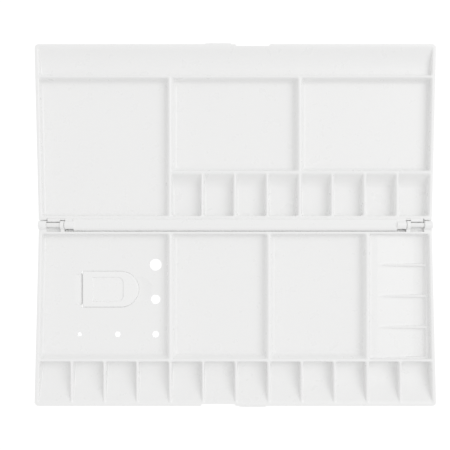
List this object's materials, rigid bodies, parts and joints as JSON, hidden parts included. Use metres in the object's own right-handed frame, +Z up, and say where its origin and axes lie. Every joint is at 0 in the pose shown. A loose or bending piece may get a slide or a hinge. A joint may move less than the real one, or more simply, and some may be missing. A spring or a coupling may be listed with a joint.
{
  "type": "folding paint mixing palette",
  "caption": "Folding plastic paint palette: two hinged shallow trays with mixing areas and paint wells, brush holes and a thumb flap, opened flat.",
  "frame": {"origin": "middle of the opened palette's footprint, on the surface it lies on, straight below the hinge axis", "axes": "+X along the hinge, with the thumb flap at -X; +Y towards the lid; +Z up out of the wells"},
  "size_m": [0.24, 0.2176, 0.0136],
  "materials": {
    "base_plastic": "satin moulded",
    "lid_plastic": "satin moulded",
    "flap_plastic": "satin moulded",
    "pin_plastic": "smooth moulded"
  },
  "bodies": {
    "base": {"base_tray": "base_plastic", "hinge_pin_left": "pin_plastic", "hinge_pin_right": "pin_plastic"},
    "lid": {"lid_tray": "lid_plastic"},
    "flap": {"thumb_flap": "flap_plastic"}
  },
  "joints": [
    {"name": "lid_hinge", "type": "hinge", "parent": "base", "child": "lid", "pos_m": [0, 0, 0.01115], "axis": [1, 0, 0], "range_deg": [0, 180]},
    {"name": "thumb_flap_hinge", "type": "hinge", "parent": "base", "child": "flap", "pos_m": [-0.0951, -0.0388, 0.0021], "axis": [0, 1, 0], "range_deg": [0, 90]}
  ]
}
